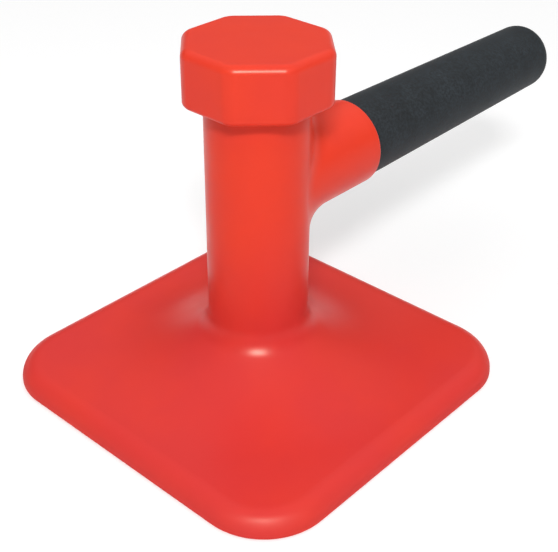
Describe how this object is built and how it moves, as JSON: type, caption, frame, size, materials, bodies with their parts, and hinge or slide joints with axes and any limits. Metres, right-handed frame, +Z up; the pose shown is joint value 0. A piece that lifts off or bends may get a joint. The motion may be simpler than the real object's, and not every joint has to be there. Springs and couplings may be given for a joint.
{
  "type": "hand tamper",
  "caption": "One-hand tamper with a square moulded sole, a round column, an octagonal striking head and a side handle, filled with loose shot.",
  "frame": {"origin": "centre of the sole's underside, below the column's axis", "axes": "+Z up the column to the striking face, +X along the handle, +Y across it"},
  "size_m": [0.2646, 0.152, 0.1419],
  "materials": {
    "moulding": "glossy moulded red urethane",
    "grip": "matt black foam rubber with a fine grain",
    "steel": "bare mill steel",
    "weld": "bare weld bead, heat darkened",
    "plug": "natural moulded plastic"
  },
  "bodies": {
    "tamper": {"body_moulding": "moulding", "strike_cap": "moulding", "grip": "grip", "sole_plate": "steel", "canister_tube": "steel", "anvil_plug": "steel", "foot_weld": "weld", "anvil_weld": "weld", "handle_core": "steel", "saddle_weld": "weld", "core_plug": "plug"},
    "shot": {"shot": "steel"}
  },
  "joints": [
    {"name": "shot_travel", "type": "slide", "parent": "tamper", "child": "shot", "axis": [0, 0, 1], "range_m": [0, 0.015]}
  ]
}
